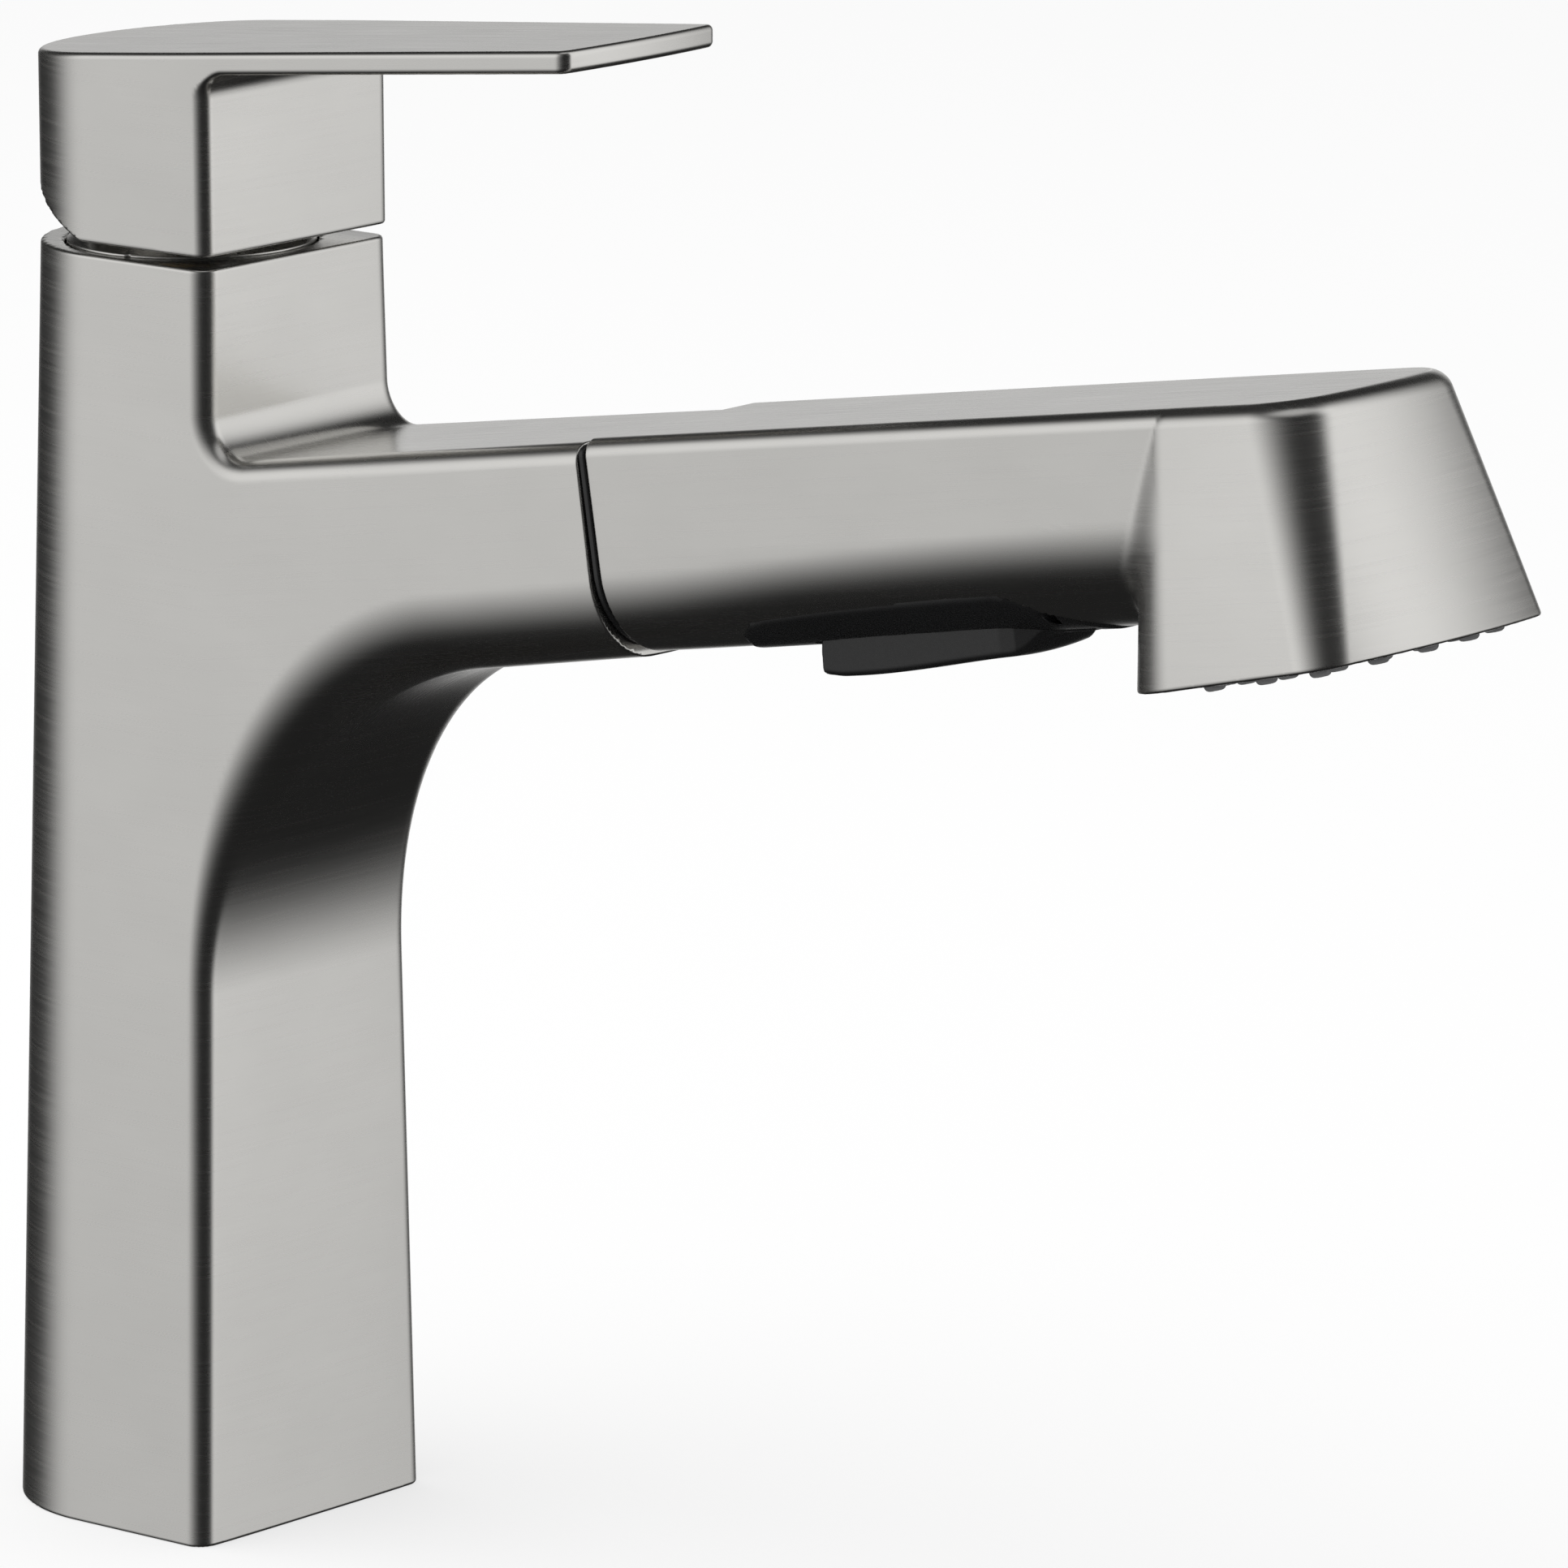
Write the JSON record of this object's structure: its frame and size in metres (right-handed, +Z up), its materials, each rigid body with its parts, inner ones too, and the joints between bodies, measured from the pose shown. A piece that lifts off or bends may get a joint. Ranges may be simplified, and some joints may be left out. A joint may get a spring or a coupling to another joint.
{
  "type": "pull-out kitchen faucet",
  "caption": "Single-lever deck faucet in brushed nickel with a leaning arm, pull-out spray wand, underside spray switch and flat lever.",
  "frame": {"origin": "where the cartridge's axis meets the deck, in the middle of the deck hole", "axes": "+X along the spout, +Z up, -Y the left-hand side of a person at the sink"},
  "size_m": [0.2707, 0.0528, 0.2352],
  "materials": {
    "brushed_nickel": "fine horizontal brushing, satin",
    "steel": "plain",
    "brass": "machined",
    "black_plastic": "fine matt",
    "grey_plastic": "fine matt",
    "white_plastic": "moulded",
    "ceramic": "lapped",
    "rubber": "matt",
    "hose": "braided"
  },
  "bodies": {
    "spout": {"spout_body": "brushed_nickel", "deck_gasket": "rubber", "base_plate": "steel", "base_screw_front": "steel", "base_screw_rear": "steel", "hot_water_tube": "brass", "hot_fitting": "brass", "cold_water_tube": "brass", "cold_fitting": "brass", "mixed_water_tube": "brass", "mixed_fitting": "brass", "spray_hose": "hose", "port_seal": "rubber", "cartridge_base": "white_plastic", "fixed_disc": "ceramic", "cartridge_housing": "white_plastic", "bonnet_nut": "brass", "temperature_limit_ring": "grey_plastic", "bonnet_ring": "brushed_nickel", "dock_collar": "black_plastic", "hose_guide": "white_plastic"},
    "cartridge_swivel": {"cartridge_rotor": "white_plastic", "stem_pin": "steel"},
    "mixing_disc": {"moving_disc": "ceramic", "disc_carrier": "white_plastic"},
    "lever": {"cartridge_stem": "brass", "handle": "brushed_nickel", "handle_set_screw": "steel", "set_screw_plug": "grey_plastic"},
    "spray_wand": {"wand_shell": "brushed_nickel", "wand_neck": "black_plastic", "dock_seal": "rubber", "hose_coupling_nut": "brass", "check_valve": "white_plastic", "inlet_screen": "steel", "waterway_tube": "white_plastic", "diverter_housing": "grey_plastic", "switch_panel": "black_plastic", "trigger_pin": "steel", "trigger_spring": "steel", "spray_chamber": "grey_plastic", "nozzle_mat": "rubber", "spray_face": "grey_plastic", "aerator": "white_plastic"},
    "spray_trigger": {"trigger": "black_plastic"},
    "spool": {"diverter_spool": "white_plastic", "spool_seal": "rubber"}
  },
  "joints": [
    {"name": "handle_swivel", "type": "hinge", "parent": "spout", "child": "cartridge_swivel", "pos_m": [0, 0, 0.19], "axis": [0, 0, 1], "range_deg": [-45, 45]},
    {"name": "handle_tilt", "type": "hinge", "parent": "cartridge_swivel", "child": "lever", "pos_m": [0, 0, 0.19], "axis": [0, -1, 0], "range_deg": [0, 18]},
    {"name": "disc_slide", "type": "slide", "parent": "cartridge_swivel", "child": "mixing_disc", "axis": [1, 0, 0], "range_m": [0, 0.0031]},
    {"name": "wand_slide", "type": "slide", "parent": "spout", "child": "spray_wand", "axis": [0.9879, 0, 0.155], "range_m": [0, 0.45], "deforming": ["spray_hose"]},
    {"name": "trigger_press", "type": "hinge", "parent": "spray_wand", "child": "spray_trigger", "pos_m": [0.1756, 0, 0.16157], "axis": [0, 1, 0], "range_deg": [0, 3.5], "stiffness_Nm_per_rad": 0.5, "springref_deg": -5.73, "deforming": ["trigger_spring"]},
    {"name": "spool_slide", "type": "slide", "parent": "spray_wand", "child": "spool", "axis": [-0.155, 0, 0.9879], "range_m": [0, 0.0012]}
  ],
  "couplings": [
    {"joint": "disc_slide", "follows": "handle_tilt", "m_per_rad": 0.0097},
    {"joint": "spool_slide", "follows": "trigger_press", "m_per_rad": 0.019}
  ]
}
